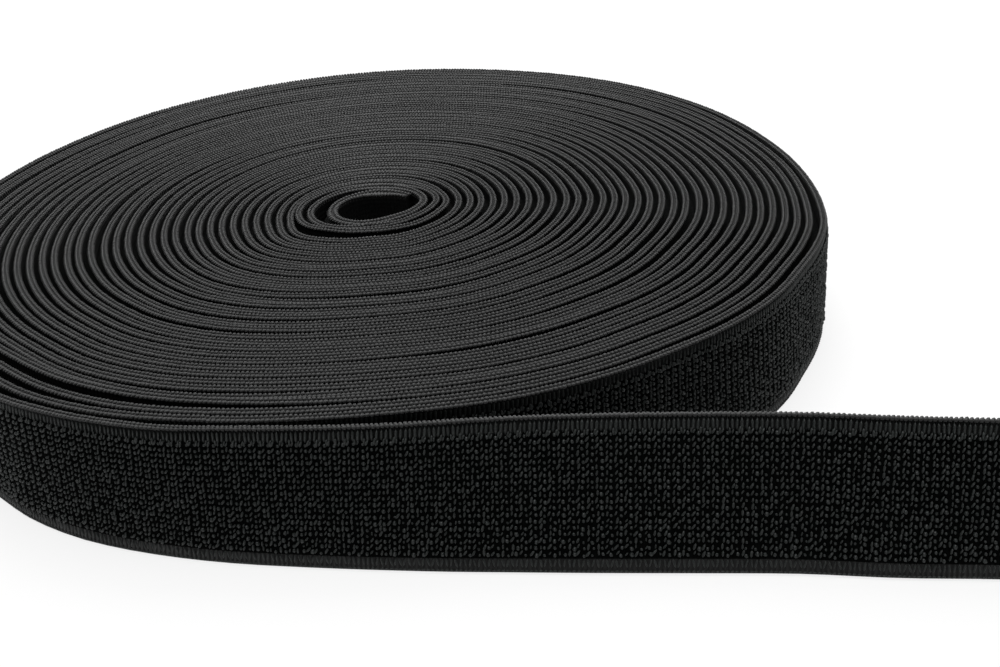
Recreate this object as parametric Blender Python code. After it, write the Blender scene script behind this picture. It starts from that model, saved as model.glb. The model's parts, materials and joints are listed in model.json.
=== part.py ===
"""Roll of black knitted elastic, 20 mm wide, lying on its side with its loose end running off.

The wound turns are one solid with an open eye. The last turn leaves the roll at the front as
a standing, slightly leaning strip. Metres, +Z up, the band's lower edges on z = 0.
"""
import bisect
import math

import bmesh
import bpy
from mathutils import Vector

MM = 0.001

# Driving sizes
WOUND_WIDTH = 18.8 * MM     # the band pulled a little narrower by the winding tension
BAND_THICKNESS = 1.7 * MM   # one layer of the knitted band
RIM_ROUNDING = 0.5 * MM     # soft edge of the wound turns, above and below
ROUNDING_STEPS = 2

# Outline of the wound turns about the roll's axis: bearing from +X in degrees, counter-clockwise,
# and radius in millimetres. It starts under the loose end and finishes one turn further out.
RIM = (
    # bearing, radius
    (-103, 71.9),
    (-95, 71.1),
    (-86, 70.6),
    (-70, 71.3),
    (-55, 72.6),
    (-42, 74.3),
    (-30, 76.0),
    (-18, 76.7),
    (0, 75.7),
    (15, 75.6),
    (32, 76.2),
    (55, 76.9),
    (80, 76.6),
    (105, 76.3),
    (128, 75.5),
    (148, 74.5),
    (170, 75.0),
    (195, 76.0),
    (218, 77.0),
    (235, 77.0),
    (257, 75.2),
)
RIM_STEP = 3.0  # degrees between the outline's points

# The eye is an oval left by the innermost turn.
EYE_CENTRE = (0.2 * MM, -3.4 * MM)
EYE_HALF_LENGTH = 6.8 * MM
EYE_HALF_WIDTH = 5.4 * MM
EYE_TURN = math.radians(10)
EYE_POINTS = 48

# Slack between the tight turns round the eye and the rest of the winding: bearing in degrees,
# radius of its inner side and its width in millimetres.
HUB_SLACK = (
    # bearing, inner radius, width
    (-168, 14.2, 0.4),
    (-141, 14.8, 2.4),
    (-125, 13.8, 3.2),
    (-107, 13.2, 2.9),
    (-82, 13.0, 2.4),
    (-55, 13.1, 1.9),
    (-27, 12.8, 1.8),
    (-7, 12.9, 1.0),
    (8, 12.6, 0.4),
)
SLACK_STEP = 4.0

# Route of the loose end about the roll's axis, in millimetres: place of its outer foot, and
# how far its top edge leans back towards the roll.
LOOSE_END = (
    # x, foot y, lean
    (-16.4, -73.3, 1.0),
    (-6.8, -75.6, 2.4),
    (6.2, -77.4, 4.6),
    (18.8, -78.7, 7.0),
    (31.4, -79.9, 7.6),
    (48.9, -81.4, 7.8),
    (66.0, -83.3, 7.2),
    (88.0, -85.9, 6.6),
)
LOOSE_END_STEPS = 60
LOOSE_END_LAYERS = 4
SLOPE_PROBE = 0.5  # millimetres either side, for the route's direction


def smooth_value(rows, column, x):
    """Value of one column of a table at x, on a smooth curve through its rows."""
    xs = [row[0] for row in rows]
    ys = [row[column] for row in rows]
    last = len(xs) - 1

    def slope(i):
        low, high = max(i - 1, 0), min(i + 1, last)
        return (ys[high] - ys[low]) / (xs[high] - xs[low])

    i = min(max(bisect.bisect_right(xs, x) - 1, 0), last - 1)
    span = xs[i + 1] - xs[i]
    t = (x - xs[i]) / span
    rise = t * t * (3 - 2 * t)
    return (
        ys[i] * (1 - rise)
        + ys[i + 1] * rise
        + slope(i) * span * t * (1 - t) ** 2
        - slope(i + 1) * span * t * t * (1 - t)
    )


def on_bearing(bearing, radius):
    """Point at a bearing in degrees and a radius in metres about the roll's axis."""
    angle = math.radians(bearing)
    return Vector((radius * math.cos(angle), radius * math.sin(angle)))


def spaced(start, end, step):
    """Evenly spaced values from start to end, about step apart, both ends included."""
    count = max(1, round((end - start) / step))
    return [start + (end - start) * i / count for i in range(count + 1)]


def rim_outline():
    """The outer surface of the last full turn, closed by the small step under the loose end."""
    return [
        on_bearing(bearing, smooth_value(RIM, 1, bearing) * MM)
        for bearing in spaced(RIM[0][0], RIM[-1][0], RIM_STEP)
    ]


def eye_outline():
    """The oval opening inside the innermost turn."""
    cos_turn, sin_turn = math.cos(EYE_TURN), math.sin(EYE_TURN)
    points = []
    for i in range(EYE_POINTS):
        angle = 2 * math.pi * i / EYE_POINTS
        along = EYE_HALF_LENGTH * math.cos(angle)
        across = EYE_HALF_WIDTH * math.sin(angle)
        points.append(
            Vector(
                (
                    EYE_CENTRE[0] + along * cos_turn - across * sin_turn,
                    EYE_CENTRE[1] + along * sin_turn + across * cos_turn,
                )
            )
        )
    return points


def slack_outline():
    """The crescent gap in front of the tight inner turns."""
    bearings = spaced(HUB_SLACK[0][0], HUB_SLACK[-1][0], SLACK_STEP)
    inner, outer = [], []
    for bearing in bearings:
        radius = smooth_value(HUB_SLACK, 1, bearing) * MM
        width = smooth_value(HUB_SLACK, 2, bearing) * MM
        inner.append(on_bearing(bearing, radius))
        outer.append(on_bearing(bearing, radius + width))
    return outer + inner[::-1]


def loose_end_place(share, depth, height):
    """Plan place of a point of the loose end.

    share runs along the route and height up the band, both from 0 to 1, and depth is measured
    in metres from the band's outer face towards the roll.
    """
    first, last = LOOSE_END[0][0], LOOSE_END[-1][0]
    x = first + (last - first) * share
    foot = Vector((x, smooth_value(LOOSE_END, 1, x))) * MM
    rise = smooth_value(LOOSE_END, 1, x + SLOPE_PROBE) - smooth_value(LOOSE_END, 1, x - SLOPE_PROBE)
    outward = Vector((rise, -2 * SLOPE_PROBE)).normalized()
    lean = smooth_value(LOOSE_END, 2, x) * MM
    return foot - outward * (depth + lean * height)


def plan_centre():
    """Middle of the plan's box, which the finished part has over its origin."""
    points = rim_outline()
    for share in (0.0, 1.0):
        for depth in (0.0, BAND_THICKNESS):
            for height in (0.0, 1.0):
                points.append(loose_end_place(share, depth, height))
    xs = [point.x for point in points]
    ys = [point.y for point in points]
    return Vector(((min(xs) + max(xs)) / 2, (min(ys) + max(ys)) / 2))


def cloth_material(name, colour, roughness):
    """Plain finish of one piece."""
    material = bpy.data.materials.new(name)
    material.use_nodes = True
    shader = material.node_tree.nodes["Principled BSDF"]
    shader.inputs["Base Color"].default_value = (*colour, 1.0)
    shader.inputs["Roughness"].default_value = roughness
    shader.inputs["Metallic"].default_value = 0.0
    return material


def add_outline(curve, points, centre):
    """Add one closed straight-sided outline to a flat curve."""
    spline = curve.splines.new("POLY")
    spline.points.add(len(points) - 1)
    for point, place in zip(spline.points, points):
        point.co = (place.x - centre.x, place.y - centre.y, 0.0, 1.0)
    spline.use_cyclic_u = True


def wound_roll(collection, centre):
    """All the wound turns as one solid, pierced by the eye and by the slack round the hub."""
    curve = bpy.data.curves.new("wound_roll_outline", "CURVE")
    curve.dimensions = "2D"
    curve.fill_mode = "BOTH"
    curve.extrude = WOUND_WIDTH / 2 - RIM_ROUNDING
    curve.bevel_depth = RIM_ROUNDING
    curve.bevel_resolution = ROUNDING_STEPS
    curve.offset = -RIM_ROUNDING
    for outline in (rim_outline(), eye_outline(), slack_outline()):
        add_outline(curve, outline, centre)
    guide = bpy.data.objects.new("wound_roll_outline", curve)
    collection.objects.link(guide)
    guide.location.z = WOUND_WIDTH / 2
    bpy.context.view_layer.update()

    evaluated = guide.evaluated_get(bpy.context.evaluated_depsgraph_get())
    mesh = bpy.data.meshes.new_from_object(evaluated)
    solid = bmesh.new()
    solid.from_mesh(mesh)
    bmesh.ops.remove_doubles(solid, verts=solid.verts, dist=0.00001)
    bmesh.ops.recalc_face_normals(solid, faces=solid.faces)
    solid.to_mesh(mesh)
    solid.free()
    mesh.materials.clear()
    mesh.materials.append(cloth_material("wound_elastic", (0.012, 0.013, 0.013), 0.85))

    roll = bpy.data.objects.new("wound_roll", mesh)
    collection.objects.link(roll)
    roll.matrix_world = guide.matrix_world
    bpy.data.objects.remove(guide)
    return roll


def loose_end(collection, centre):
    """The last stretch of band: a bar, one layer thick, bent along its route and leaned back."""
    solid = bmesh.new()
    bmesh.ops.create_cube(solid, size=1.0)
    lengthwise = [edge for edge in solid.edges if abs(edge.verts[0].co.x - edge.verts[1].co.x) > 0.5]
    bmesh.ops.subdivide_edges(solid, edges=lengthwise, cuts=LOOSE_END_STEPS - 1, use_grid_fill=True)
    upright = [edge for edge in solid.edges if abs(edge.verts[0].co.z - edge.verts[1].co.z) > 0.5]
    bmesh.ops.subdivide_edges(solid, edges=upright, cuts=LOOSE_END_LAYERS - 1, use_grid_fill=True)
    for vertex in solid.verts:
        share, height = vertex.co.x + 0.5, vertex.co.z + 0.5
        depth = (vertex.co.y + 0.5) * BAND_THICKNESS
        place = loose_end_place(share, depth, height) - centre
        vertex.co = (place.x, place.y, height * WOUND_WIDTH)
    bmesh.ops.recalc_face_normals(solid, faces=solid.faces)
    mesh = bpy.data.meshes.new("loose_end")
    solid.to_mesh(mesh)
    solid.free()
    mesh.materials.append(cloth_material("loose_elastic", (0.013, 0.014, 0.014), 0.85))
    strip = bpy.data.objects.new("loose_end", mesh)
    collection.objects.link(strip)
    return strip


def build():
    """Model the two pieces over the origin."""
    for thing in list(bpy.data.objects):
        bpy.data.objects.remove(thing)
    collection = bpy.data.collections.new("roll_of_elastic")
    bpy.context.scene.collection.children.link(collection)
    centre = plan_centre()
    wound_roll(collection, centre)
    loose_end(collection, centre)


build()
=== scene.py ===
"""A roll of black knitted elastic: one long band wound round an open eye, its loose end standing on edge."""

import json
import math

import bpy
import numpy as np
from mathutils import Matrix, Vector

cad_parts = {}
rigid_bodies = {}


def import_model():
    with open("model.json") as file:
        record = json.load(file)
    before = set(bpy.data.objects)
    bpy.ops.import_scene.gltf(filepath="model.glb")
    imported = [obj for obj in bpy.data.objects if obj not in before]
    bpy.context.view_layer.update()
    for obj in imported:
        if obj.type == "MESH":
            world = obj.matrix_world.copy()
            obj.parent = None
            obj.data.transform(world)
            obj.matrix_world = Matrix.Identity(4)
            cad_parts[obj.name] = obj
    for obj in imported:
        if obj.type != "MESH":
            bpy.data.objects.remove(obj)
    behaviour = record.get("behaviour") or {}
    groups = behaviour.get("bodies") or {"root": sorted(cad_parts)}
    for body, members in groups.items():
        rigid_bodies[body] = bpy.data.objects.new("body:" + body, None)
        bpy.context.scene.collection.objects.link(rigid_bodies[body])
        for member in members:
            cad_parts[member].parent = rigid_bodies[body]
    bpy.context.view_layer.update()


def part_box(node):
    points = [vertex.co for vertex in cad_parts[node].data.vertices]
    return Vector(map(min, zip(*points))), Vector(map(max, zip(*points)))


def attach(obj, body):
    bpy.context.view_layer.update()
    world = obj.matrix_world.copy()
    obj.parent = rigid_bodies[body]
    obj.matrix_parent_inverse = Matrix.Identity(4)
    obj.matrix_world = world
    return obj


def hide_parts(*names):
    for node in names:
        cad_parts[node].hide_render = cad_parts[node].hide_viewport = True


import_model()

MM = 0.001

# ---------------------------------------------------------------- sizes, in millimetres and degrees

# The band as it stands: its width under tension, half its thickness, and its two plain selvedges.
BAND_HEIGHT = 18.8
SELVEDGE_HALF = 0.5
FIELD_HALF = 0.45
TOP_SELVEDGE = 2.0
BOTTOM_SELVEDGE = 1.7

# The upper edge rises and sinks slowly by this much, over about this length.
EDGE_SWAY = 0.12
EDGE_SWAY_LENGTH = 300.0
EDGE_SEED = 11

# On the hidden turns the plush swells until it presses into the next turn, as far as it can. The face
# of the last turn, of this length, is made of stitches instead.
LOFT_MOST = 1.3
LOFT_PRESS = 0.06
LOFT_FADE = 10.0
LAST_TURN_SHOWN = 465.0

# The lean at which the band starts to come free of the roll, how much more lean frees it wholly, and
# the lean under which it counts as upright.
FREE_FROM = 1.2
FREE_OVER = 2.0
UPRIGHT = 0.01

# How much wider the crest is where the band bends sharply round the eye: distance along it, share.
CREST_SPREAD = (
    (0, 1.5),
    (35, 1.4),
    (60, 1.1),
    (150, 1.05),
    (400, 1.0),
)
# The crest's spread where the turns stand apart, what it gains where they press together, before and
# behind the eye, and its spread on the loose end.
OPEN_SPREAD = 1.0
PRESSED_SPREAD = (0.5, 1.15)
FREE_SPREAD = 1.05

# The length of one knitted course, drawn out in the roll and slack on the loose end.
WOUND_COURSE = 0.627
RELAXED_COURSE = 0.594
SLACKENS_OVER = 40.0

# The outline of the wound form about its axis: bearing, radius of the outer face.
RIM = (
    (-103, 71.2),
    (-95, 70.2),
    (-86, 69.8),
    (-70, 70.9),
    (-60, 71.7),
    (-52, 72.3),
    (-46, 73.2),
    (-41, 73.9),
    (-34, 74.6),
    (-28, 74.9),
    (-21, 75.8),
    (-15, 76.4),
    (-8, 76.2),
    (0, 75.9),
    (15, 75.8),
    (32, 76.6),
    (55, 77.1),
    (80, 76.6),
    (105, 76.3),
    (128, 75.5),
    (148, 74.5),
    (170, 75.0),
    (195, 76.0),
    (218, 77.0),
    (226, 77.2),
    (235, 77.8),
    (245, 77.2),
    (257, 75.2),
)

# How far the last turn's foot stands out under its crest: bearing, distance.
RIM_LEAN = (
    (-103, 0.1),
    (-95, 0.4),
    (-86, 0.6),
    (-70, 0.8),
    (-55, 1.2),
    (-42, 1.9),
    (-34, 1.75),
    (-26, 1.3),
    (-16, 0.8),
    (0, 0.1),
    (8, 0.0),
    (20, 0.0),
    (226, 0.0),
)

# The bend that many turns share on one side of the roll: bearing, half width in degrees, height. It
# starts at this turn, grows over as many turns, and fades over the last few.
KINK = (-5.0, 8.0, 0.45)
KINK_FROM_TURN = 8
KINK_GROWS_OVER = 8
KINK_FADES_OVER = 3

# The three loose turns round the eye: bearing wound from the inner tip, radius about the eye's middle.
EYE_CENTRE = (0.2, -3.4)
EYE_TURNS = (
    (45, 7.3),
    (66, 7.0),
    (106, 7.1),
    (150, 7.4),
    (187, 7.6),
    (214, 7.6),
    (237, 7.1),
    (265, 6.2),
    (285, 5.7),
    (307, 5.5),
    (337, 6.3),
    (355, 7.1),
    (375, 8.3),
    (405, 9.2),
    (430, 9.7),
    (466, 10.3),
    (510, 11.0),
    (547, 11.4),
    (574, 10.6),
    (597, 9.0),
    (625, 7.5),
    (645, 7.3),
    (667, 7.5),
    (697, 8.3),
    (715, 9.3),
    (735, 10.6),
    (765, 11.3),
    (786, 11.5),
    (808, 11.8),
    (826, 12.3),
    (860, 13.2),
    (885, 13.6),
    (907, 13.4),
    (927, 12.6),
    (944, 10.9),
    (966, 9.7),
    (985, 9.0),
    (1005, 9.05),
    (1035, 9.8),
    (1067, 10.9),
    (1088, 12.1),
    (1112, 12.5),
    (1149, 13.4),
    (1184, 14.1),
    (1220, 14.7),
)
EYE_BEARING_A_TURN = 356.1
# The turns between which the loose winding runs over into the tight one.
EYE_JOIN = (2.99, 3.22)

# The contour on which the tight winding starts, half way through the fourth turn: bearing, radius.
FIRST_TIGHT = (
    (18, 12.4),
    (54, 11.3),
    (104, 11.1),
    (150, 12.6),
    (180, 14.2),
    (205, 15.8),
    (229, 17.7),
    (244, 17.0),
    (257, 16.3),
    (271, 15.6),
    (285, 15.6),
    (305, 15.0),
    (327, 14.5),
    (353, 13.6),
)
TIGHT_FROM = 3.5
LOOSE_PITCH = 1.8
START_BEARING = 18.0
TURN_STEPS = 180
WHOLE_TURNS = 34

# Places where the turns stand apart or press together: turn, spread in turns, change of pitch.
UNEVEN_TURNS = (
    (33.87, 0.07, 0.12),
    (33.96, 0.03, -0.2),
    (33.59, 0.05, 0.45),
    (32.62, 0.06, 0.40),
    (31.62, 0.06, -0.35),
    (33.62, 0.05, -0.05),
)
PITCH_UNEVENNESS = 0.06
PITCH_EVEN_TURNS = 1
PITCH_GROWS_OVER = 2
PITCH_SEED = 5
LAST_GAP_TURNS = 0.16

# The way out of the roll: X and Y of the outer face's foot, and how far the top leans back over it.
LEAVING = (
    (-50.6, -58.2, 0.3),
    (-45.8, -62.5, 0.9),
    (-40.6, -66.0, 1.5),
    (-35.9, -68.5, 1.85),
    (-31.5, -70.3, 2.05),
    (-23.0, -73.0, 2.4),
    (-14.8, -74.9, 3.4),
    (-6.8, -76.2, 4.0),
    (6.1, -77.95, 5.3),
    (12.5, -78.7, 6.2),
    (18.8, -79.3, 6.9),
    (31.4, -80.45, 7.7),
    (43.8, -81.45, 7.85),
    (56.0, -82.5, 7.7),
    (67.9, -84.2, 7.4),
    (78.6, -85.2, 6.9),
    (88.0, -86.3, 6.4),
)
LEAVING_BEARING = 226.0

# The steps in which the route and the outline are worked out, the steps of the route between the
# places where the plush's room is measured, and how far before and behind its direction is read.
ROUTE_STEP = 0.25
OUTLINE_STEP = 0.5
COARSE_EVERY = 4
NUDGE = 0.4

# The gap between the band's own sections: its growth with the root of the radius, least and most.
STATION_GROWTH = 0.42
STATION_LEAST = 0.8
STATION_MOST = 3.6

# The courses that are left bare at the band's two ends, as a share of one.
FIRST_COURSE = 0.5
LAST_COURSE = 0.3

# How the next turn outside is found: past this distance, within this share of straight out, and the
# room that is left where there is none.
NOT_ITSELF = 0.6
STRAIGHT_OUT = 0.8
FREE_ROOM = 9.0


# ---------------------------------------------------------------- the band's route


def smooth(rows, column, places):
    """One column of a table as a smooth curve, read at places along the table's first column."""
    table = np.array(rows, dtype=float)
    along, value = table[:, 0], table[:, column]
    slope = np.gradient(value, along)
    places = np.clip(places, along[0], along[-1])
    row = np.clip(np.searchsorted(along, places) - 1, 0, len(along) - 2)
    step = along[row + 1] - along[row]
    share = (places - along[row]) / step
    rest = 1 - share
    return (
        value[row] * (1 + 2 * share) * rest**2
        + slope[row] * step * share * rest**2
        + value[row + 1] * share**2 * (3 - 2 * share)
        - slope[row + 1] * step * share**2 * rest
    )


def closed(rows):
    """The rows of a closed contour, with a round more before and after them."""
    table = np.array(rows, dtype=float)
    return np.concatenate([table - (360, 0), table, table + (360, 0)])


def ease(share):
    """0 to 1 with level ends."""
    share = np.clip(share, 0, 1)
    return share * share * (3 - 2 * share)


def polar(radius, bearing):
    """Points at a radius and a bearing in degrees."""
    angle = np.radians(bearing)
    return np.stack([radius * np.cos(angle), radius * np.sin(angle)], axis=-1)


def drift(places, seed, waves=9, slowest=0.35, fastest=4.6):
    """A slow, seeded unevenness along the turns, about -1 to 1."""
    random = np.random.default_rng(seed)
    pace = np.geomspace(slowest, fastest, waves)
    start = random.uniform(0, 2 * math.pi, waves)
    return np.sin(2 * math.pi * places[..., None] * pace + start).sum(axis=-1) / math.sqrt(waves)


def rim_radius(bearing):
    """The middle of the band on the outermost turn."""
    return smooth(RIM, 1, bearing) - SELVEDGE_HALF


def tight_radii(turns):
    """The radius of the band's middle on the tight turns, packed between the loose turns and the rim."""
    bearing = START_BEARING + 360 * turns
    first = smooth(closed(FIRST_TIGHT), 1, bearing % 360)
    rim_start, rim_end = RIM[0][0], RIM[-1][0]
    around = (bearing - rim_start) % 360 + rim_start
    rim = rim_radius(around)

    uneven = ease((turns - TIGHT_FROM - PITCH_EVEN_TURNS) / PITCH_GROWS_OVER)
    pitch = 1 + PITCH_UNEVENNESS * drift(turns, PITCH_SEED) * uneven
    for turn, spread, change in UNEVEN_TURNS:
        pitch += change * np.exp(-(((turns - turn) / spread) ** 2))
    stack = turns - TIGHT_FROM
    for step in range(TURN_STEPS, len(turns)):
        stack[step] = stack[step - TURN_STEPS] + pitch[step]

    rim_turn = slice(-TURN_STEPS, None)
    first_step = first[-1]
    grown_by = (rim_radius(rim_end) - first_step) / (rim_radius(rim_start) - first_step)
    last_gap = stack[-TURN_STEPS] * grown_by - stack[-1]
    stack[rim_turn] += last_gap * ease((turns[rim_turn] - turns[-1]) / LAST_GAP_TURNS + 1)
    total = stack[rim_turn][(np.arange(len(turns)) - len(turns)) % TURN_STEPS]
    middle, width, height = KINK
    kink = height * np.exp(-((((bearing - middle + 180) % 360 - 180) / width) ** 2))
    kink *= ease((turns - KINK_FROM_TURN) / KINK_GROWS_OVER)
    kink *= ease((WHOLE_TURNS - 1 - turns) / KINK_FADES_OVER)
    return first + (rim - first) * stack / total + kink


def wound_points():
    """The middle of the band from its inner tip to where it leaves the rim, about the roll's axis."""
    rim_turns = WHOLE_TURNS + (RIM[-1][0] - START_BEARING) / 360
    steps = math.ceil((rim_turns - TIGHT_FROM) * TURN_STEPS)
    tight = TIGHT_FROM + np.arange(steps) / TURN_STEPS
    tight_radius = tight_radii(tight)

    loose = np.arange(int(TIGHT_FROM * TURN_STEPS)) / TURN_STEPS
    eye_bearing = EYE_TURNS[0][0] + EYE_BEARING_A_TURN * loose
    eye = polar(smooth(EYE_TURNS, 1, eye_bearing), eye_bearing) + EYE_CENTRE
    loose_bearing = START_BEARING + 360 * loose
    outer = smooth(closed(FIRST_TIGHT), 1, loose_bearing % 360) - LOOSE_PITCH * (TIGHT_FROM - loose)
    join = ease((loose - EYE_JOIN[0]) / (EYE_JOIN[1] - EYE_JOIN[0]))[:, None]
    inner_part = eye * (1 - join) + polar(outer, loose_bearing) * join

    tight_bearing = START_BEARING + 360 * tight
    last_bearing = START_BEARING + 360 * WHOLE_TURNS + (LEAVING_BEARING - START_BEARING)
    kept = tight_bearing < last_bearing
    rim_bearing = tight_bearing - 360 * WHOLE_TURNS
    lean = smooth(RIM_LEAN, 1, rim_bearing) * (rim_bearing >= RIM_LEAN[0][0])
    tight_part = polar(tight_radius + lean, tight_bearing)[kept]
    leans = np.concatenate([np.zeros(len(inner_part)), lean[kept]])
    return np.concatenate([inner_part, tight_part]), leans


def unit(vectors):
    """The same directions, one long."""
    return vectors / np.linalg.norm(vectors, axis=-1, keepdims=True)


def outward(points):
    """The side of a route in plan that faces away from the roll."""
    ahead = unit(np.gradient(points, axis=0))
    return np.stack([ahead[:, 1], -ahead[:, 0]], axis=-1)


def band_route():
    """The band's middle, closely stepped: distance, X, Y and the lean of its top, about the roll's axis."""
    wound, wound_lean = wound_points()
    foot = np.array(LEAVING)[:, :2]
    leaving = foot - SELVEDGE_HALF * outward(foot)
    points = np.concatenate([wound, leaving])
    lean = np.concatenate([wound_lean, np.array(LEAVING)[:, 2]])
    distance = np.concatenate([[0], np.cumsum(np.linalg.norm(np.diff(points, axis=0), axis=1))])
    rows = np.column_stack([distance, points, lean])
    fine = np.arange(0, distance[-1], ROUTE_STEP)
    route = np.column_stack([fine] + [smooth(rows, column, fine) for column in (1, 2, 3)])
    route[:, 3] = np.maximum(route[:, 3], 0)
    return route


def axis_place():
    """The roll's axis in plan, from the wound form's box."""
    low, high = (np.array(corner[:2]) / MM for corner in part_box("wound_roll"))
    bearing = np.arange(RIM[0][0], RIM[-1][0], OUTLINE_STEP)
    outline = polar(smooth(RIM, 1, bearing), bearing)
    return np.array([low[0] - outline[:, 0].min(), high[1] - outline[:, 1].max()])


def room_outside(points, side, lean):
    """How far the next turn, which may lean in, lies outside each point."""
    room = np.full(len(points), FREE_ROOM)
    for index, (point, out) in enumerate(zip(points, side)):
        away = points - point
        distance = np.hypot(away[:, 0], away[:, 1])
        facing = (away @ out) > STRAIGHT_OUT * distance
        near = facing & (distance > NOT_ITSELF)
        if near.any():
            nearest = np.flatnonzero(near)[distance[near].argmin()]
            room[index] = distance[nearest] - lean[nearest]
    return room


def freed(lean):
    """0 on the roll to 1 on the loose end."""
    return ease((lean - FREE_FROM) / FREE_OVER)


class Band:
    """The route, and what every stitch and section on it is placed by."""

    def __init__(self):
        self.route = band_route()
        self.axis = axis_place()
        self.length = self.route[-1, 0]
        distance, points, lean = np.split(self.route[::COARSE_EVERY], (1, 3), axis=1)
        room = room_outside(points, outward(points), lean[:, 0])
        still_wound = np.flatnonzero(self.route[:, 3] < UPRIGHT)
        self.leaves_at = self.route[still_wound[-1], 0]
        self.face_from = self.leaves_at - LAST_TURN_SHOWN
        loft = np.clip(room - 2 * FIELD_HALF + LOFT_PRESS, 0, LOFT_MOST)
        loft *= 1 - ease((distance[:, 0] - self.face_from) / LOFT_FADE)
        self.loft = (distance[:, 0], loft)

    def read(self, column, places):
        """One column of the route at places along the band."""
        return np.interp(places, self.route[:, 0], self.route[:, column])

    def plan(self, places):
        """X and Y of the band's middle about the roll's axis."""
        return np.stack([self.read(1, places), self.read(2, places)], axis=-1)

    def at(self, places):
        """Sections of the band at places along it, as columns of point data, in metres."""
        points = self.plan(places)
        ahead = unit(self.plan(places + NUDGE) - self.plan(places - NUDGE))
        out = np.stack([ahead[:, 1], -ahead[:, 0]], axis=-1)
        lean = self.read(3, places)
        sway = EDGE_SWAY * drift(places / EDGE_SWAY_LENGTH, EDGE_SEED) * (lean < UPRIGHT)
        flat = np.zeros(len(places))
        spine = np.column_stack([points + self.axis, flat]) * MM
        rise = np.column_stack([-out * lean[:, None], BAND_HEIGHT + sway]) * MM
        along = np.column_stack([ahead, flat])
        return {
            "spine": spine,
            "rise": rise,
            "along": along,
            "face": unit(np.cross(along, rise)),
            "loft": np.interp(places, *self.loft) * MM,
            "spread": self.spread(places, points, lean),
            "held": 1 - freed(lean),
            "distance": places * MM,
        }

    def spread(self, places, points, lean):
        """The crest's spread: widest where the turns press together, before and behind the eye."""
        pressed = (points[:, 1] / np.linalg.norm(points, axis=1)) ** 2
        pressed *= np.where(points[:, 1] < 0, *PRESSED_SPREAD)
        wound = (OPEN_SPREAD + pressed) * np.interp(places, *np.array(CREST_SPREAD).T)
        free = freed(lean)
        return wound * (1 - free) + FREE_SPREAD * free


def gaps_counted(distance, gap):
    """How many gaps lie before each distance, where the gap changes on the way."""
    return np.concatenate([[0], np.cumsum(np.diff(distance) / gap[1:])])


def stations(band):
    """Places along the band for its own mesh, closer together where it bends more."""
    distance = band.route[:, 0]
    radius = np.hypot(band.route[:, 1], band.route[:, 2])
    gap = np.clip(STATION_GROWTH * np.sqrt(radius), STATION_LEAST, STATION_MOST)
    count = gaps_counted(distance, gap)
    return np.interp(np.linspace(0, count[-1], int(count[-1]) + 1), count, distance)


def courses(band):
    """Places along the band of every knitted course, a little closer once the band is slack."""
    distance = band.route[:, 0]
    slack = ease((distance - band.leaves_at) / SLACKENS_OVER)
    gap = WOUND_COURSE + (RELAXED_COURSE - WOUND_COURSE) * slack
    count = gaps_counted(distance, gap)
    return np.interp(np.arange(FIRST_COURSE, count[-1] - LAST_COURSE), count, distance)


# ---------------------------------------------------------------- point data for the trees


def add_object(name, data):
    """An object in the scene for a mesh, a light or a camera."""
    made = bpy.data.objects.new(name, data)
    bpy.context.scene.collection.objects.link(made)
    return made


def point_object(name, places, data, edges=(), cyclic=False):
    """A hidden mesh of points that carry named numbers and vectors."""
    mesh = bpy.data.meshes.new(name)
    count = len(places)
    if cyclic:
        edges = [(index, (index + 1) % count) for index in range(count)]
    mesh.from_pydata([tuple(place) for place in places], [tuple(edge) for edge in edges], [])
    for key, values in data.items():
        values = np.asarray(values, dtype=np.float32)
        kind = "FLOAT_VECTOR" if values.ndim == 2 else "FLOAT"
        attribute = mesh.attributes.new(key, kind, "POINT")
        attribute.data.foreach_set("vector" if values.ndim == 2 else "value", values.ravel())
    made = add_object(name, mesh)
    made.hide_render = True
    return made


class Wiring:
    """Adds nodes to a group and joins them, so that a tree reads as a list of steps."""

    def __init__(self, group):
        self.group = group

    def add(self, kind, inputs=None, **settings):
        """A node with its settings, its sockets given a value or joined to another node's output."""
        node = self.group.nodes.new(kind)
        for key, value in settings.items():
            setattr(node, key, value)
        for key, value in (inputs or {}).items():
            if isinstance(value, bpy.types.NodeSocket):
                self.group.links.new(value, node.inputs[key])
            else:
                node.inputs[key].default_value = value
        return node

    def math(self, operation, first, second=0.0):
        """The result of one sum on two numbers."""
        node = self.add("ShaderNodeMath", {0: first, 1: second}, operation=operation)
        return node.outputs[0]

    def vector(self, operation, first, second):
        """The result of one sum on two vectors."""
        node = self.add("ShaderNodeVectorMath", {0: first, 1: second}, operation=operation)
        return node.outputs[0]

    def scaled(self, vector, factor):
        """A vector times a number."""
        node = self.add("ShaderNodeVectorMath", {0: vector, "Scale": factor}, operation="SCALE")
        return node.outputs[0]

    def named(self, key, kind="FLOAT"):
        """A named attribute of the geometry."""
        return self.add("GeometryNodeInputNamedAttribute", {"Name": key}, data_type=kind).outputs[0]

    def random(self, low, high, seed):
        """A random number for each element."""
        node = self.add("FunctionNodeRandomValue", {2: low, 3: high, 8: seed}, data_type="FLOAT")
        return node.outputs[1]

    def stored(self, geometry, name, value, kind, domain):
        """The geometry with a value stored on it under a name."""
        node = self.add(
            "GeometryNodeStoreNamedAttribute",
            {"Geometry": geometry, "Name": name, "Value": value},
            data_type=kind,
            domain=domain,
        )
        return node.outputs[0]

    def coated(self, geometry, material, selection=True):
        """The geometry with a material set on it, or on a part of it."""
        inputs = {"Geometry": geometry, "Material": material, "Selection": selection}
        return self.add("GeometryNodeSetMaterial", inputs).outputs[0]


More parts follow.
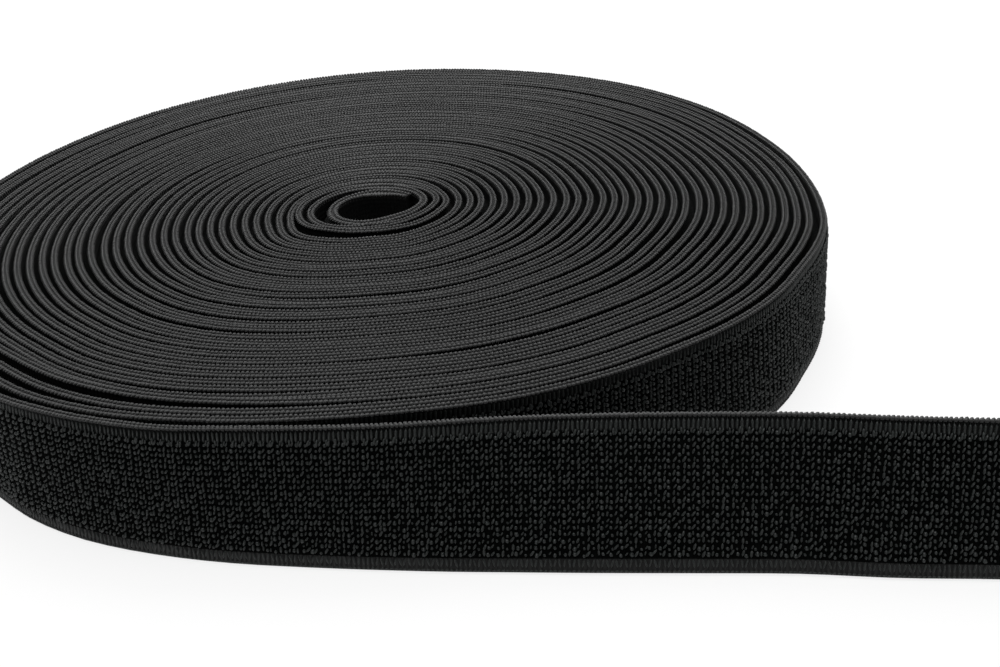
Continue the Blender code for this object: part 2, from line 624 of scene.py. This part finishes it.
def geometry_group(name, sockets):
    """A geometry tree with named inputs and one geometry output."""
    group = bpy.data.node_groups.new(name, "GeometryNodeTree")
    group.interface.new_socket("Geometry", in_out="INPUT", socket_type="NodeSocketGeometry")
    group.interface.new_socket("Geometry", in_out="OUTPUT", socket_type="NodeSocketGeometry")
    for title, kind in sockets:
        group.interface.new_socket(title, in_out="INPUT", socket_type=f"NodeSocket{kind}")
    wiring = Wiring(group)
    return wiring, wiring.add("NodeGroupInput"), wiring.add("NodeGroupOutput")


def placed_by_section(wiring, height, out, along=None):
    """The point at a height share, a distance out of the face and a distance along the band."""
    place = wiring.vector(
        "ADD",
        wiring.named("spine", "FLOAT_VECTOR"),
        wiring.scaled(wiring.named("rise", "FLOAT_VECTOR"), height),
    )
    place = wiring.vector("ADD", place, wiring.scaled(wiring.named("face", "FLOAT_VECTOR"), out))
    if along is not None:
        place = wiring.vector("ADD", place, wiring.scaled(wiring.named("along", "FLOAT_VECTOR"), along))
    return place


def edge_spread(wiring):
    """The spread of the crest where a point is on it, and 1 anywhere else."""
    more = wiring.math("SUBTRACT", wiring.named("spread"), 1.0)
    upper = wiring.math("GREATER_THAN", wiring.named("height"), 0.5)
    on_crest = wiring.math("MULTIPLY", wiring.named("edge"), upper)
    return wiring.math("ADD", wiring.math("MULTIPLY", more, on_crest), 1.0)


# A face whose own girth leads its corner's by more than this share crosses the section's seam.
SEAM_LEAD = 0.25
# The share of the loft under which a face is plain and takes the darker back cloth, painted shade, and the
# share of the selvedge over which it is ribbed and takes the lighter selvedge cloth, painted light.
PLAIN_UNDER = 0.3
RIBBED_OVER = 0.9


def band_tree():
    """Sweeps the section along the route and sets each corner from the route's own data."""
    sockets = (
        ("Section", "Object"),
        ("Tile Length", "Float"),
        ("Field Cloth", "Material"),
        ("Edge Cloth", "Material"),
        ("Back Cloth", "Material"),
    )
    wiring, given, result = geometry_group("swept_band", sockets)
    route = wiring.add("GeometryNodeMeshToCurve", {"Mesh": given.outputs["Geometry"]})
    section = wiring.add("GeometryNodeObjectInfo", {"Object": given.outputs["Section"]})
    ring = wiring.add("GeometryNodeMeshToCurve", {"Mesh": section.outputs["Geometry"]})
    swept = wiring.add(
        "GeometryNodeCurveToMesh",
        {"Curve": route.outputs[0], "Profile Curve": ring.outputs[0], "Fill Caps": True},
    )
    loft = wiring.math("MULTIPLY", wiring.named("loft"), wiring.named("lofted"))
    edge_out = wiring.math("MULTIPLY", wiring.named("out"), edge_spread(wiring))
    out = wiring.math("ADD", edge_out, loft)
    place = placed_by_section(wiring, wiring.named("height"), out)
    moved = wiring.add("GeometryNodeSetPosition", {"Geometry": swept.outputs[0], "Position": place})

    girth = wiring.named("girth")
    face_girth = wiring.add("GeometryNodeFieldOnDomain", {"Value": girth}, domain="FACE").outputs[0]
    lead = wiring.math("SUBTRACT", face_girth, girth)
    across = wiring.math("ADD", girth, wiring.math("GREATER_THAN", lead, SEAM_LEAD))
    onward = wiring.math("DIVIDE", wiring.named("distance"), given.outputs["Tile Length"])
    map_place = wiring.add("ShaderNodeCombineXYZ", {"X": onward, "Y": across}).outputs[0]
    mapped = wiring.stored(moved.outputs[0], "OFBake", map_place, "FLOAT2", "CORNER")
    smooth_shaded = wiring.add("GeometryNodeSetShadeSmooth", {"Geometry": mapped})
    real = wiring.add("GeometryNodeRealizeInstances", {"Geometry": smooth_shaded.outputs[0]})

    # Plain faces, the recessed flank under the crest and the band's inner face, take the darker back cloth:
    # painted shade.
    plain = wiring.math("LESS_THAN", wiring.named("lofted"), PLAIN_UNDER)
    # Ribbed faces, the crest's top, the flank inside it and the foot, take the lighter selvedge cloth:
    # painted light.
    ribbed = wiring.math("GREATER_THAN", wiring.named("edge"), RIBBED_OVER)
    # The field behind the stitches takes the near black ground cloth: painted shade between them.
    clothed = wiring.coated(real.outputs[0], given.outputs["Field Cloth"])
    clothed = wiring.coated(clothed, given.outputs["Back Cloth"], plain)
    clothed = wiring.coated(clothed, given.outputs["Edge Cloth"], ribbed)
    wiring.group.links.new(clothed, result.inputs[0])
    return wiring.group


def stitch_shape(wiring, kind, **sizes):
    """A small round solid one long, with its own map kept for the yarn's fibres."""
    shape = wiring.add(kind, sizes)
    return wiring.stored(shape.outputs["Mesh"], "own_map", shape.outputs["UV Map"], "FLOAT2", "CORNER")


def bead_and_strand(wiring):
    """The two shapes of stitch: a round bead first, then a strand that lies along X."""
    bead = stitch_shape(wiring, "GeometryNodeMeshIcoSphere", Radius=0.5, Subdivisions=1)
    upright = stitch_shape(wiring, "GeometryNodeMeshUVSphere", Segments=4, Rings=3, Radius=0.5)
    quarter = wiring.add("FunctionNodeEulerToRotation", {"Euler": (0.0, math.pi / 2, 0.0)})
    laid = wiring.add("GeometryNodeTransform", {"Geometry": upright, "Rotation": quarter.outputs[0]})
    shapes = wiring.add("GeometryNodeGeometryToInstance")
    for shape in (laid.outputs[0], bead):
        wiring.group.links.new(shape, shapes.inputs[0])
    return shapes.outputs[0]


# A stitch wanders in and out by this share of its wandering along and up the band.
OUT_WANDER = 0.6
# Each stitch's patch of the yarn's map lies within this share of it.
MAP_SPREAD = 0.9


def stitch_rotation(wiring, slant):
    """Turns a stitch to face out of the band, or up on the crest, and slants it."""
    up = wiring.add(
        "ShaderNodeVectorMath", {0: wiring.named("rise", "FLOAT_VECTOR")}, operation="NORMALIZE"
    ).outputs[0]
    facing = wiring.add(
        "ShaderNodeMix",
        {"Factor": wiring.named("crest"), 4: wiring.named("face", "FLOAT_VECTOR"), 5: up},
        data_type="VECTOR",
    ).outputs[1]
    turned = wiring.add(
        "FunctionNodeAxesToRotation",
        {"Primary Axis": facing, "Secondary Axis": wiring.named("along", "FLOAT_VECTOR")},
        primary_axis="Z",
        secondary_axis="X",
    )
    slanted = wiring.add(
        "FunctionNodeAxisAngleToRotation",
        {"Axis": (0.0, 0.0, 1.0), "Angle": wiring.math("RADIANS", slant)},
    )
    return wiring.add(
        "FunctionNodeRotateRotation",
        {"Rotation": turned.outputs[0], "Rotate By": slanted.outputs[0]},
        rotation_space="LOCAL",
    ).outputs[0]


def stitch_tree():
    """Sets a pattern of stitches on every course of the route."""
    sockets = (
        ("Pattern", "Object"),
        ("Wander", "Float"),
        ("Turn Wander", "Float"),
        ("Size Wander", "Float"),
        ("Map Cell", "Float"),
        ("Seed", "Int"),
        ("Yarn", "Material"),
    )
    wiring, given, result = geometry_group("stitches_on_courses", sockets)
    pattern = wiring.add("GeometryNodeObjectInfo", {"Object": given.outputs["Pattern"]})
    laid = wiring.add(
        "GeometryNodeInstanceOnPoints",
        {"Points": given.outputs["Geometry"], "Instance": pattern.outputs["Geometry"]},
    )
    spots = wiring.add("GeometryNodeRealizeInstances", {"Geometry": laid.outputs[0]})

    seed = given.outputs["Seed"]
    unrest = wiring.named("unrest")

    def wander(number, amount):
        share = wiring.random(-1.0, 1.0, wiring.math("ADD", seed, float(number)))
        return wiring.math("MULTIPLY", wiring.math("MULTIPLY", share, amount), unrest)

    sway = given.outputs["Wander"]
    band_height = wiring.add(
        "ShaderNodeVectorMath", {0: wiring.named("rise", "FLOAT_VECTOR")}, operation="LENGTH"
    ).outputs["Value"]
    height_sway = wiring.math("DIVIDE", wander(1, sway), band_height)
    height = wiring.math("ADD", wiring.named("height"), height_sway)
    spread_out = wiring.math("MULTIPLY", wiring.named("out"), edge_spread(wiring))
    tucked_in = wiring.math("MULTIPLY", wiring.named("tucked"), wiring.named("held"))
    kept_out = wiring.math("SUBTRACT", spread_out, tucked_in)
    out = wiring.math("ADD", kept_out, wander(2, wiring.math("MULTIPLY", sway, OUT_WANDER)))
    along = wiring.math("ADD", wiring.named("forward"), wander(3, sway))
    place = placed_by_section(wiring, height, out, along)
    set_out = wiring.add("GeometryNodeSetPosition", {"Geometry": spots.outputs[0], "Position": place})

    slant = wiring.math("ADD", wiring.named("slant"), wander(4, given.outputs["Turn Wander"]))
    growth = wiring.math("ADD", wander(5, given.outputs["Size Wander"]), 1.0)
    broad = wiring.add("ShaderNodeCombineXYZ", {"X": 1.0, "Y": edge_spread(wiring), "Z": 1.0}).outputs[0]
    broadened = wiring.vector("MULTIPLY", wiring.named("size", "FLOAT_VECTOR"), broad)
    stitches = wiring.add(
        "GeometryNodeInstanceOnPoints",
        {
            "Points": set_out.outputs[0],
            "Instance": bead_and_strand(wiring),
            "Pick Instance": True,
            "Instance Index": wiring.named("strand", "INT"),
            "Rotation": stitch_rotation(wiring, slant),
            "Scale": wiring.scaled(broadened, growth),
        },
    )
    cell = wiring.add(
        "FunctionNodeRandomValue",
        {0: (0.0, 0.0, 0.0), 1: (1.0, 1.0, 0.0), 8: wiring.math("ADD", seed, 6.0)},
        data_type="FLOAT_VECTOR",
    ).outputs[0]
    marked = wiring.stored(stitches.outputs[0], "cell", cell, "FLOAT_VECTOR", "INSTANCE")
    real = wiring.add("GeometryNodeRealizeInstances", {"Geometry": marked})
    spot = wiring.vector(
        "ADD",
        wiring.scaled(wiring.named("own_map", "FLOAT_VECTOR"), given.outputs["Map Cell"]),
        wiring.scaled(wiring.named("cell", "FLOAT_VECTOR"), MAP_SPREAD),
    )
    mapped = wiring.stored(real.outputs[0], "OFBake", spot, "FLOAT2", "CORNER")
    smooth_shaded = wiring.add("GeometryNodeSetShadeSmooth", {"Geometry": mapped})
    clothed = wiring.coated(smooth_shaded.outputs[0], given.outputs["Yarn"])
    wiring.group.links.new(clothed, result.inputs[0])
    return wiring.group


# The names that the trees read, and that no finished piece keeps.
POINT_DATA = (
    "spine",
    "rise",
    "along",
    "face",
    "loft",
    "distance",
    "height",
    "out",
    "lofted",
    "girth",
    "forward",
    "crest",
    "slant",
    "size",
    "strand",
    "unrest",
    "spread",
    "held",
    "tucked",
    "edge",
    "own_map",
    "cell",
)


def grown(name, base, group, values):
    """The plain mesh that a tree makes from a base object, as a finished piece."""
    modifier = base.modifiers.new("grow", "NODES")
    modifier.node_group = group
    sockets = {item.name: item.identifier for item in group.interface.items_tree if item.in_out == "INPUT"}
    for title, value in values.items():
        modifier[sockets[title]] = value
    seen = base.evaluated_get(bpy.context.evaluated_depsgraph_get())
    mesh = bpy.data.meshes.new_from_object(seen)
    mesh.name = name
    base.modifiers.remove(modifier)
    for key in POINT_DATA:
        if key in mesh.attributes:
            mesh.attributes.remove(mesh.attributes[key])
    return add_object(name, mesh)


# ---------------------------------------------------------------- the section and the stitch patterns

# The band's section, round from the foot of its outer face: height, distance out, share of the loft,
# and 1 on the ribbed selvedges.
SECTION = (
    (0.02, 0.48, 0, 1),
    (BOTTOM_SELVEDGE, 0.42, 0, 1),
    (BOTTOM_SELVEDGE + 0.3, 0.38, 1, 0),
    (9.0, 0.38, 1, 0),
    (BAND_HEIGHT - TOP_SELVEDGE - 0.3, 0.38, 1, 0),
    (BAND_HEIGHT - TOP_SELVEDGE, 0.24, 0, 0),
    (BAND_HEIGHT - 0.95, 0.18, 0, 0),
    (BAND_HEIGHT - 0.36, 0.30, 0, 1),
    (BAND_HEIGHT - 0.36, -0.32, 0, 1),
    (BAND_HEIGHT - 0.95, -0.40, 0, 1),
    (BAND_HEIGHT - 1.3, -0.40, 0, 0),
    (BAND_HEIGHT - TOP_SELVEDGE - 0.3, -FIELD_HALF, 0, 0),
    (BOTTOM_SELVEDGE, -FIELD_HALF, 0, 0),
    (0.02, -0.44, 0, 1),
)


def section_object():
    """The closed section, with the share of its girth at each corner."""
    table = np.array(SECTION)
    around = np.linalg.norm(np.diff(table[:, :2], axis=0, append=table[:1, :2]), axis=1)
    girth = np.concatenate([[0], np.cumsum(around)[:-1]]) / around.sum()
    places = np.column_stack([table[:, 1], table[:, 0], np.zeros(len(table))]) * MM
    data = {
        "height": table[:, 0] / BAND_HEIGHT,
        "out": table[:, 1] * MM,
        "lofted": table[:, 2],
        "edge": table[:, 3],
        "girth": girth,
    }
    return point_object("band_section", places, data, cyclic=True)


class Pattern:
    """A list of stitches, each with its place on the band and its size."""

    def __init__(self):
        self.rows = []

    def stitch(self, height, out, size, forward=0.0, slant=0.0, crest=0.0, strand=0, unrest=1.0, tucked=0.0):
        """
        Adds a stitch: its height up the band, its distance out, and its size along, up and out.

        It may also lie forward, slant, face up by a share on the crest, be a strand rather than a bead,
        wander more or less than others, or be tucked in while the band is wound.
        """
        lengths = np.array((out, forward, tucked, *size)) * MM
        self.rows.append((height / BAND_HEIGHT, *lengths, slant, crest, strand, unrest, crest > 0.5))

    def object(self, name):
        """The stitches as a hidden mesh of points."""
        table = np.array(self.rows, dtype=float)
        height, out, forward, tucked, *size, slant, crest, strand, unrest, edge = table.T
        data = {
            "height": height,
            "out": out,
            "forward": forward,
            "tucked": tucked,
            "size": np.stack(size, axis=-1),
            "slant": slant,
            "crest": crest,
            "strand": strand,
            "unrest": unrest,
            "edge": edge,
        }
        return point_object(name, np.zeros((len(table), 3)), data)


# The sizes of the stitches: along the band, up it and out of it, before they are slanted.
CREST_STITCH = (0.64, 0.62, 0.62)
LOOP = (0.46, 0.58, 0.50)
FLOAT_STRAND = (0.78, 0.30, 0.50)
TOP_RIB = (1.7, 0.40, 0.6)
FOOT_STITCH = (0.62, 0.40, 0.40)
FOOT_RIB = (1.2, 0.34, 0.40)
BORDER_STRAND = (0.95, 0.36, 0.36)

# The two rows on the crest: their depth under the top, their distance to each side, their slant, and
# how far each looks up.
CREST_DEPTH = 0.32
CREST_OUT = 0.30
CREST_SLANT = 20
OUTER_LOOKS_UP = 0.92
INNER_LOOKS_UP = 1

# The plush: rows of loops and strands, this far inside the two selvedges, wilder towards the foot.
FIELD_ROWS = 19
FIELD_MARGIN = 0.45
LOOP_OUT = 0.44
LOOP_SLANT = 20
LOOP_UNREST = 1.1
STRAND_OUT = 0.60
STRAND_SLANT = 71
FOOT_UNREST = 0.6

# The ribs of the selvedges: their height, their distance out and their slant.
TOP_RIB_HEIGHT = BAND_HEIGHT - 1.4
TOP_RIB_OUT = 0.36
TOP_RIB_SLANT = 88
TOP_RIB_TUCK = 0.22
FOOT_STITCH_HEIGHT = 0.2
FOOT_STITCH_SLANT = 8
FOOT_RIB_HEIGHT = 1.15
FOOT_RIB_SLANTS = (76, 104)
FOOT_OUT = 0.42
BORDER_HEIGHT = BAND_HEIGHT - TOP_SELVEDGE - 0.1
BORDER_OUT = 0.55
BORDER_SLANT = 84


def crest_pattern():
    """The two leaning rows of chain stitches along the top edge, one course of them."""
    pattern = Pattern()
    top = BAND_HEIGHT - CREST_DEPTH
    sides = ((1, OUTER_LOOKS_UP), (-1, INNER_LOOKS_UP))
    for side, looks_up in sides:
        pattern.stitch(
            top,
            side * CREST_OUT,
            CREST_STITCH,
            forward=-side * WOUND_COURSE / 4,
            slant=-side * CREST_SLANT,
            crest=looks_up,
            strand=1,
            unrest=0.6,
        )
    return pattern.object("crest_pattern")


def face_pattern():
    """The loops, strands and selvedge ribs of the outer face, two courses of them."""
    pattern = Pattern()
    half = WOUND_COURSE / 2
    low = BOTTOM_SELVEDGE + FIELD_MARGIN
    high = BAND_HEIGHT - TOP_SELVEDGE - FIELD_MARGIN
    pitch = (high - low) / (FIELD_ROWS - 1)
    for row in range(FIELD_ROWS):
        height = low + pitch * row
        unrest = 1.0 + FOOT_UNREST * (1 - row / FIELD_ROWS)
        pattern.stitch(height, LOOP_OUT, LOOP, -half, slant=LOOP_SLANT, unrest=LOOP_UNREST * unrest)
        middle = height + pitch / 3
        pattern.stitch(middle, STRAND_OUT, FLOAT_STRAND, half, STRAND_SLANT, strand=1, unrest=unrest)
    for along, foot_slant in zip((-half, half), FOOT_RIB_SLANTS):
        pattern.stitch(
            TOP_RIB_HEIGHT,
            TOP_RIB_OUT,
            TOP_RIB,
            along,
            slant=TOP_RIB_SLANT,
            strand=1,
            unrest=0.4,
            tucked=TOP_RIB_TUCK,
        )
        pattern.stitch(
            FOOT_STITCH_HEIGHT, FOOT_OUT, FOOT_STITCH, along, FOOT_STITCH_SLANT, strand=1, unrest=0.3
        )
        pattern.stitch(FOOT_RIB_HEIGHT, FOOT_OUT, FOOT_RIB, along, foot_slant, strand=1, unrest=0.5)
    pattern.stitch(BORDER_HEIGHT, BORDER_OUT, BORDER_STRAND, slant=BORDER_SLANT, strand=1)
    return pattern.object("face_pattern")


# ---------------------------------------------------------------- materials

# Each finish: its name, its dark and light colours, its roughness and its shine.
CREST_YARN = ("black_crest_yarn", (0.003, 0.0033, 0.0033), (0.0118, 0.0122, 0.0120), 0.7, 0.5)
# The face's yarn is darker than the crest's: painted shade on the front of the band, with a slight green
# tint.
SHADED_FACE_YARN = ("black_face_yarn", (0.0001, 0.0010, 0.0008), (0.0045, 0.0095, 0.0080), 0.44, 0.5)
# The selvedge cloth is lighter than the crest's yarn: painted light on the crest's top and the flank inside
# it.
LIT_SELVEDGE_CLOTH = ("black_selvedge", (0.003, 0.0033, 0.0032), (0.018, 0.0185, 0.0182), 0.7, 0.25)
# The ground is near black, much darker than the yarn: painted shade in the gaps between the stitches.
SHADE_GROUND_CLOTH = ("black_ground", (0.0002, 0.0004, 0.0003), (0.0016, 0.0022, 0.0020), 0.9, 0.05)
# The back cloth is darker than the yarn: painted shade on the recessed flank under the crest and on the
# inner face.
SHADED_BACK_CLOTH = ("black_back", (0.0002, 0.0004, 0.0004), (0.008, 0.0092, 0.0088), 0.75, 0.15)
YARN_SHEEN = 0.06
YARN_SHEEN_ROUGHNESS = 0.45

# The fibres and the patches of tone to one width of the map.
STITCH_FIBRES, STITCH_TONES = 60.0, 24.0
SELVEDGE_FIBRES, SELVEDGE_TONES = 40.0, 40.0
KNIT_FIBRES, KNIT_TONES = 40.0, 30.0

# One width of the band's map holds this many courses along it, and this many rows of loops round it.
TILE_COURSES = 16
KNIT_ROWS = 50
# The depth of the ribs and the rows, which also darkens the knit's grooves as painted shade.
COURSE_RELIEF = 0.3
ROW_RELIEF = 0.2

# The strength of each relief, and its height in metres.
FIBRE_BUMP = (0.35, 0.05 * MM)
SELVEDGE_BUMP = (1.0, 0.3 * MM)
KNIT_BUMP = (0.8, 0.2 * MM)

FLOOR_GREY = 0.14
FLOOR_GLOW = 0.8


def shader_group(name, inputs, outputs):
    """A shader group with named numbers, vectors and colours in and out."""
    group = bpy.data.node_groups.new(name, "ShaderNodeTree")
    for title, kind in inputs:
        group.interface.new_socket(title, in_out="INPUT", socket_type=f"NodeSocket{kind}")
    for title, kind in outputs:
        group.interface.new_socket(title, in_out="OUTPUT", socket_type=f"NodeSocket{kind}")
    wiring = Wiring(group)
    return wiring, wiring.add("NodeGroupInput"), wiring.add("NodeGroupOutput")


def yarn_group():
    """Fine fibres that run along the yarn, with slow and quick changes of tone."""
    inputs = (("Map", "Vector"), ("Fibres", "Float"), ("Tone Scale", "Float"))
    outputs = (("Height", "Float"), ("Tone", "Float"))
    wiring, given, result = shader_group("yarn", inputs, outputs)
    fibres = wiring.add(
        "ShaderNodeTexWave",
        {"Vector": given.outputs["Map"], "Scale": given.outputs["Fibres"], "Distortion": 2.0, "Detail": 1.0},
        bands_direction="DIAGONAL",
    )
    tone = wiring.add(
        "ShaderNodeTexNoise",
        {"Vector": given.outputs["Map"], "Scale": given.outputs["Tone Scale"], "Detail": 2.0},
    )
    wiring.group.links.new(fibres.outputs["Fac"], result.inputs["Height"])
    wiring.group.links.new(tone.outputs["Fac"], result.inputs["Tone"])
    return wiring.group


class Cloth:
    """A material between two colours, and the wiring that its tone and its relief are made with."""

    def __init__(self, yarn, finish, fibres, tones):
        name, dark, light, roughness, shine = finish
        self.material = bpy.data.materials.new(name)
        self.material.use_nodes = True
        self.material.diffuse_color = (*light, 1.0)
        self.wiring = Wiring(self.material.node_tree)
        self.shader = self.material.node_tree.nodes["Principled BSDF"]
        self.shader.inputs["Roughness"].default_value = roughness
        self.shader.inputs["Specular IOR Level"].default_value = shine
        self.colour = self.wiring.add(
            "ShaderNodeMix", {6: (*dark, 1.0), 7: (*light, 1.0)}, data_type="RGBA"
        )
        self.wiring.group.links.new(self.colour.outputs[2], self.shader.inputs["Base Color"])
        self.chart = self.wiring.add("ShaderNodeUVMap", uv_map="OFBake").outputs[0]
        self.yarn = self.wiring.group.nodes.new("ShaderNodeGroup")
        self.yarn.node_tree = yarn
        self.yarn.inputs["Fibres"].default_value = fibres
        self.yarn.inputs["Tone Scale"].default_value = tones
        self.wiring.group.links.new(self.chart, self.yarn.inputs["Map"])

    def sheen(self):
        """Gives the yarn its soft sheen."""
        self.shader.inputs["Sheen Weight"].default_value = YARN_SHEEN
        self.shader.inputs["Sheen Roughness"].default_value = YARN_SHEEN_ROUGHNESS

    def wave(self, axis, count):
        """A wave along one axis of the map, with so many crests to one width of it."""
        place = self.wiring.add("ShaderNodeSeparateXYZ", {"Vector": self.chart}).outputs[axis]
        return self.wiring.math("COSINE", self.wiring.math("MULTIPLY", place, 2 * math.pi * count))

    def finished(self, tone, height, bump):
        """The material, with its tone and its relief set."""
        strength, distance = bump
        relief = self.wiring.add(
            "ShaderNodeBump", {"Height": height, "Strength": strength, "Distance": distance}
        )
        self.wiring.group.links.new(tone, self.colour.inputs["Factor"])
        self.wiring.group.links.new(relief.outputs[0], self.shader.inputs["Normal"])
        return self.material


def stitch_material(yarn, finish):
    """The black yarn of the stitches."""
    cloth = Cloth(yarn, finish, STITCH_FIBRES, STITCH_TONES)
    cloth.sheen()
    return cloth.finished(cloth.yarn.outputs["Tone"], cloth.yarn.outputs["Height"], FIBRE_BUMP)


def selvedge_material(yarn):
    """The knitted selvedges: one upright rib for each course, in a cloth lighter than the yarn as painted
    light, its grooves between the ribs darker as painted shade.
    """
    cloth = Cloth(yarn, LIT_SELVEDGE_CLOTH, SELVEDGE_FIBRES, SELVEDGE_TONES)
    cloth.sheen()
    wave = cloth.wave("X", TILE_COURSES)
    rib = cloth.wiring.math("ADD", cloth.wiring.math("MULTIPLY", wave, 0.5), 0.5)
    # The tone follows the ribs, so the grooves between them are darker: painted shade.
    tone = cloth.wiring.math("MULTIPLY", rib, cloth.yarn.outputs["Tone"])
    return cloth.finished(tone, rib, SELVEDGE_BUMP)


def knit_material(yarn, finish):
    """Flat knitted cloth: courses along the band, rows of loops up it, its tone darker in the grooves of its
    relief as painted shade.
    """
    cloth = Cloth(yarn, finish, KNIT_FIBRES, KNIT_TONES)
    wiring = cloth.wiring
    ribs = wiring.math("MULTIPLY", cloth.wave("X", TILE_COURSES), COURSE_RELIEF)
    rows = wiring.math("MULTIPLY", cloth.wave("Y", KNIT_ROWS), ROW_RELIEF)
    height = wiring.math("ADD", wiring.math("ADD", ribs, rows), 0.5)
    # The tone follows the relief, so the grooves between the ribs and the rows are darker: painted shade.
    tone = wiring.math("MULTIPLY", height, cloth.yarn.outputs["Tone"])
    return cloth.finished(tone, height, KNIT_BUMP)


def floor_material():
    """The plain white of the floor, which glows a little so that it stays white under a soft shadow."""
    material = bpy.data.materials.new("white_floor")
    material.use_nodes = True
    shader = material.node_tree.nodes["Principled BSDF"]
    shader.inputs["Base Color"].default_value = (FLOOR_GREY, FLOOR_GREY, FLOOR_GREY, 1.0)
    shader.inputs["Roughness"].default_value = 1.0
    shader.inputs["Specular IOR Level"].default_value = 0.0
    shader.inputs["Emission Color"].default_value = (1.0, 1.0, 1.0, 1.0)
    shader.inputs["Emission Strength"].default_value = FLOOR_GLOW
    return material


# ---------------------------------------------------------------- the pieces

CREST_PIECES = ("crest_stitches_inner", "crest_stitches_middle", "crest_stitches_outer")
FACE_PIECES = ("face_stitches_back", "face_stitches_left", "face_stitches_end")
CREST_WANDER = {"Wander": 0.04 * MM, "Turn Wander": 10.0, "Size Wander": 0.12}
FACE_WANDER = {"Wander": 0.08 * MM, "Turn Wander": 14.0, "Size Wander": 0.20}
CREST_SEED = 0
FACE_SEED = 100
SEED_STEP = 20
MAP_CELL = 0.08
GUIDES = ("_courses", "_pattern", "_route", "_section")


def swept_band(band, yarn):
    """The band itself, one closed sheet from its inner tip to its loose end."""
    places = stations(band)
    data = band.at(places)
    edges = [(index, index + 1) for index in range(len(places) - 1)]
    route = point_object("band_route", data["spine"], data, edges)
    values = {
        "Section": section_object(),
        "Tile Length": TILE_COURSES * WOUND_COURSE * MM,
        "Field Cloth": knit_material(yarn, SHADE_GROUND_CLOTH),
        "Edge Cloth": selvedge_material(yarn),
        "Back Cloth": knit_material(yarn, SHADED_BACK_CLOTH),
    }
    return grown("elastic_band", route, band_tree(), values)


def stitched(names, band, places, tree, seed, values):
    """Stitches on these courses of the band, shared out between pieces."""
    made = []
    for number, (name, part) in enumerate(zip(names, np.array_split(places, len(names)))):
        data = band.at(part)
        row = point_object(f"{name}_courses", data["spine"], data)
        made.append(grown(name, row, tree, {"Seed": seed + SEED_STEP * number, **values}))
    return made


def build():
    """Makes every piece of the roll."""
    band = Band()
    yarn = yarn_group()
    elastic = swept_band(band, yarn)

    tree = stitch_tree()
    every_course = courses(band)
    crest = {
        "Pattern": crest_pattern(),
        "Map Cell": MAP_CELL,
        "Yarn": stitch_material(yarn, CREST_YARN),
        **CREST_WANDER,
    }
    face = {
        "Pattern": face_pattern(),
        "Map Cell": MAP_CELL,
        "Yarn": stitch_material(yarn, SHADED_FACE_YARN),
        **FACE_WANDER,
    }
    shown = every_course[every_course > band.face_from][::2]
    made = stitched(CREST_PIECES, band, every_course, tree, CREST_SEED, crest)
    made += stitched(FACE_PIECES, band, shown, tree, FACE_SEED, face)

    for piece in (elastic, *made):
        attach(piece, "root")
    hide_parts("wound_roll", "loose_end")
    for guide in list(bpy.data.objects):
        if guide.hide_render and guide.name.endswith(GUIDES):
            bpy.data.objects.remove(guide)


# ---------------------------------------------------------------- floor, light and camera, in metres

FLOOR_SIZE = 4.0
FLOOR_DROP = 0.0001
SKY_STRENGTH = 0.35

# The soft square lights, which all face the roll: place, width, power.
LIGHTS = {
    "back_light": ((0.1, 0.8, 0.9), 0.9, 16.0),
    "top_light": ((-0.1, 0.1, 1.2), 1.0, 16.0),
}

# The camera's place, how far it looks down and how far it is turned about its own line of sight.
CAMERA_PLACE = (0.01357, -0.19593, 0.10140)
CAMERA_DOWN = 28.87
CAMERA_ROLL = 2.88
CAMERA_LENS = 44.37
CAMERA_NEAREST = 0.01


def add_floor():
    """A wide white floor at the roll's foot."""
    mesh = bpy.data.meshes.new("floor")
    half = FLOOR_SIZE / 2
    corners = [(-half, -half, 0), (half, -half, 0), (half, half, 0), (-half, half, 0)]
    mesh.from_pydata(corners, [], [(0, 1, 2, 3)])
    mesh.materials.append(floor_material())
    floor = add_object("floor", mesh)
    floor.location.z = -FLOOR_DROP


def add_lights():
    """Even white surroundings, with large soft lights above and behind."""
    world = bpy.data.worlds.new("white_surroundings")
    world.use_nodes = True
    sky = world.node_tree.nodes["Background"]
    sky.inputs["Color"].default_value = (1.0, 1.0, 1.0, 1.0)
    sky.inputs["Strength"].default_value = SKY_STRENGTH
    bpy.context.scene.world = world
    for name, (place, width, power) in LIGHTS.items():
        light = bpy.data.lights.new(name, "AREA")
        light.size = width
        light.energy = power
        lamp = add_object(name, light)
        lamp.location = place
        x, y, z = place
        lamp.rotation_euler = (math.atan2(math.hypot(x, y), z), 0.0, math.atan2(-y, -x) - math.pi / 2)


def add_camera():
    """The camera, low in front of the loose end."""
    lens = bpy.data.cameras.new("camera")
    lens.lens = CAMERA_LENS
    lens.clip_start = CAMERA_NEAREST
    camera = add_object("camera", lens)
    camera.location = CAMERA_PLACE
    tilt = Matrix.Rotation(math.pi / 2 - math.radians(CAMERA_DOWN), 4, "X")
    roll = Matrix.Rotation(-math.radians(CAMERA_ROLL), 4, "Z")
    camera.rotation_euler = (tilt @ roll).to_euler()
    bpy.context.scene.camera = camera


add_camera()
build()
add_floor()
add_lights()
bpy.context.scene.view_settings.view_transform = "Standard"
